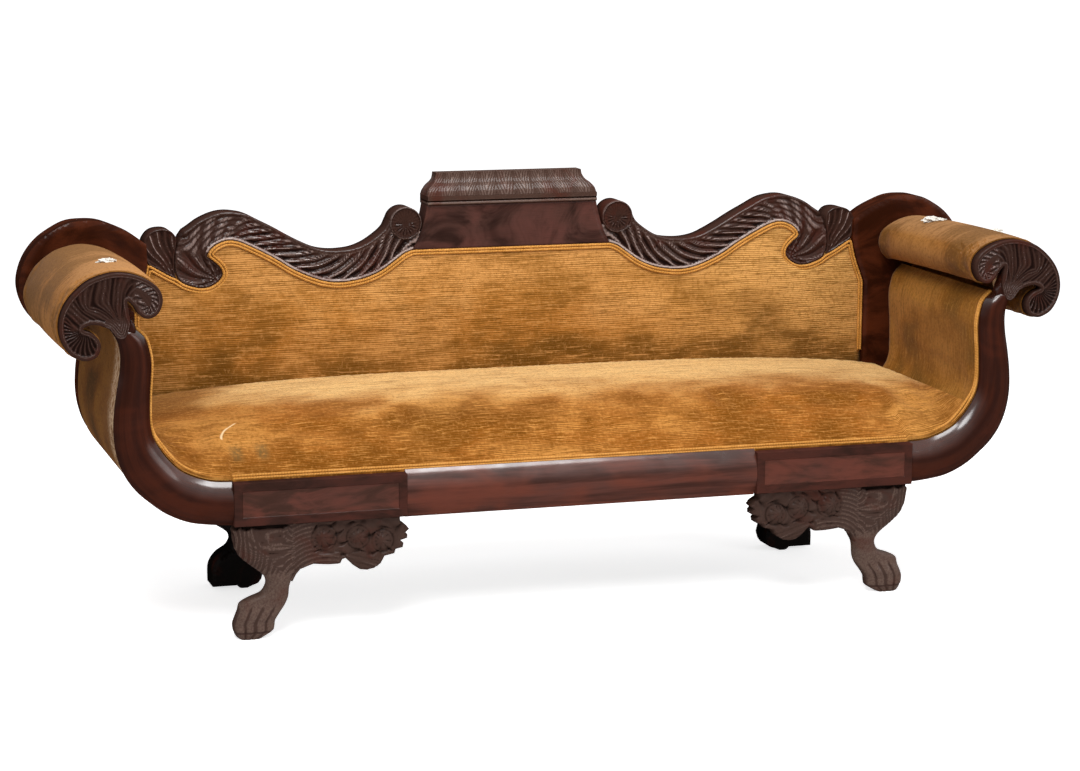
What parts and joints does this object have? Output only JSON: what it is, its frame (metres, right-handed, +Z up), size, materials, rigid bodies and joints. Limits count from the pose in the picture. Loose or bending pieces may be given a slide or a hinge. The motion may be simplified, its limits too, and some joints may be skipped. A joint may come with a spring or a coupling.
{
  "type": "sofa",
  "caption": "Long settee with rolled arms, a carved crest over a padded back, a tight sprung seat and carved paw feet.",
  "frame": {"origin": "on the floor under the middle of the sofa's box", "axes": "+X along the sofa to the sitter's left, which is the viewer's right from the front, +Y from front to back, +Z up"},
  "size_m": [2.21, 0.6, 0.895],
  "materials": {
    "crotch": "French polished mahogany veneer, glossy",
    "carved": "carved mahogany, satin with worn high points",
    "dark_foot": "ebonised wood, satin",
    "frame_wood": "unfinished hardwood",
    "velvet": "ribbed cotton velvet, worn",
    "gimp": "braid and welt",
    "stuffing": "curled hair in muslin",
    "canvas": "plain canvas",
    "webbing": "jute webbing",
    "spring_steel": "drawn wire, lacquered",
    "dust": "black cotton"
  },
  "bodies": {
    "root": {"front_rail_core": "frame_wood", "front_rail_moulding": "crotch", "rail_block_left": "crotch", "rail_block_right": "crotch", "rear_seat_rail": "frame_wood", "side_rail_left": "frame_wood", "side_rail_right": "frame_wood", "seat_braces": "frame_wood", "corner_blocks": "frame_wood", "arm_facing_left": "crotch", "arm_facing_right": "crotch", "scroll_facing_left": "carved", "scroll_facing_right": "carved", "arm_stump_left": "frame_wood", "arm_stump_right": "frame_wood", "arm_slats_left": "frame_wood", "arm_slats_right": "frame_wood", "rear_post_left": "crotch", "rear_post_right": "crotch", "crest_rail_left": "carved", "crest_rail_right": "carved", "crest_ears": "carved", "crest_rosettes": "carved", "crest_tablet": "crotch", "tablet_cap": "carved", "crest_dowels": "frame_wood", "back_stiles": "frame_wood", "back_uprights": "frame_wood", "back_lower_rail": "frame_wood", "tacking_strips": "frame_wood", "paw_leg_left": "carved", "paw_leg_right": "carved", "fruit_bracket_left": "carved", "fruit_bracket_right": "carved", "rear_foot_left": "dark_foot", "rear_foot_right": "dark_foot", "foot_dowels": "frame_wood", "frame_screws": "spring_steel", "seat_webbing": "webbing", "seat_springs": "spring_steel", "spring_canvas": "canvas", "seat_stuffing": "stuffing", "seat_cover": "velvet", "back_webbing": "webbing", "back_stuffing": "stuffing", "back_cover": "velvet", "outer_back_cloth": "velvet", "roll_padding_left": "stuffing", "roll_padding_right": "stuffing", "roll_cover_left": "velvet", "roll_cover_right": "velvet", "inside_arm_left": "velvet", "inside_arm_right": "velvet", "outside_arm_left": "velvet", "outside_arm_right": "velvet", "seat_braid": "gimp", "arm_braid": "gimp", "dust_cloth": "dust"}
  },
  "joints": []
}
